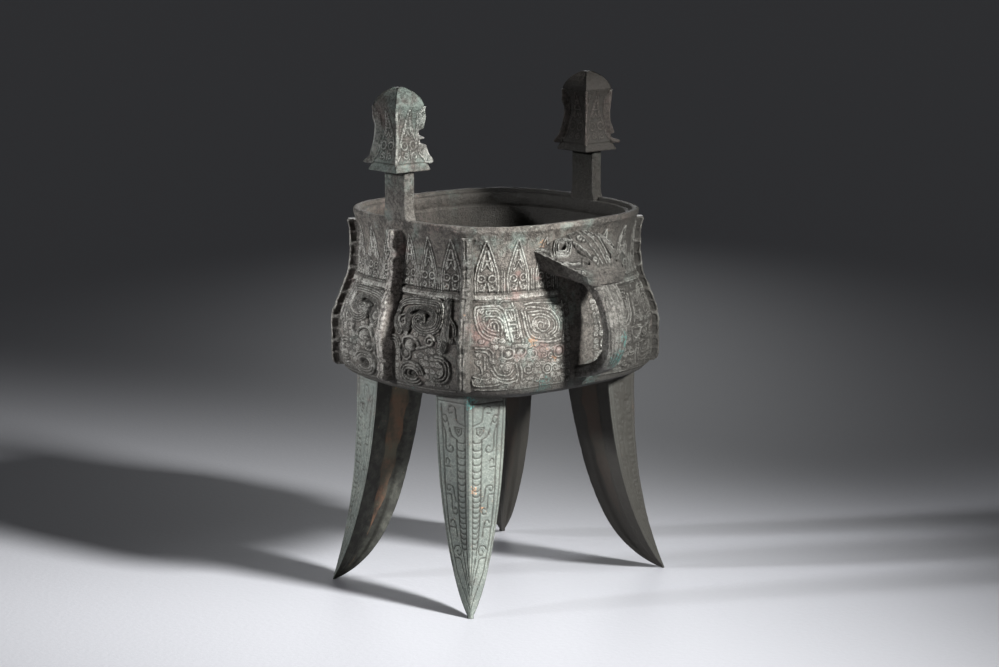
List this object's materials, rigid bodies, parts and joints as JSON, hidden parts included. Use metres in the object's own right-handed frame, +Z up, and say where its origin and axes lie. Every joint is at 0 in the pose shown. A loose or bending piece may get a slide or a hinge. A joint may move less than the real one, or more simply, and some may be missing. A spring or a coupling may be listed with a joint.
{
  "type": "ritual vessel",
  "caption": "Square footed bronze wine vessel with splayed blade legs, flanged body, strap handle with an animal head, and capped posts on its rim.",
  "frame": {"origin": "on the floor, under the middle of the vessel's width and depth over all, handle included", "axes": "+Z up; X runs between the two posts on the rim; -Y is the side with the handle"},
  "size_m": [0.2522, 0.266, 0.4201],
  "materials": {
    "old_bronze": "aged bronze under a matt grey-green patina"
  },
  "bodies": {
    "root": {"jia_vessel": "old_bronze"}
  },
  "joints": []
}
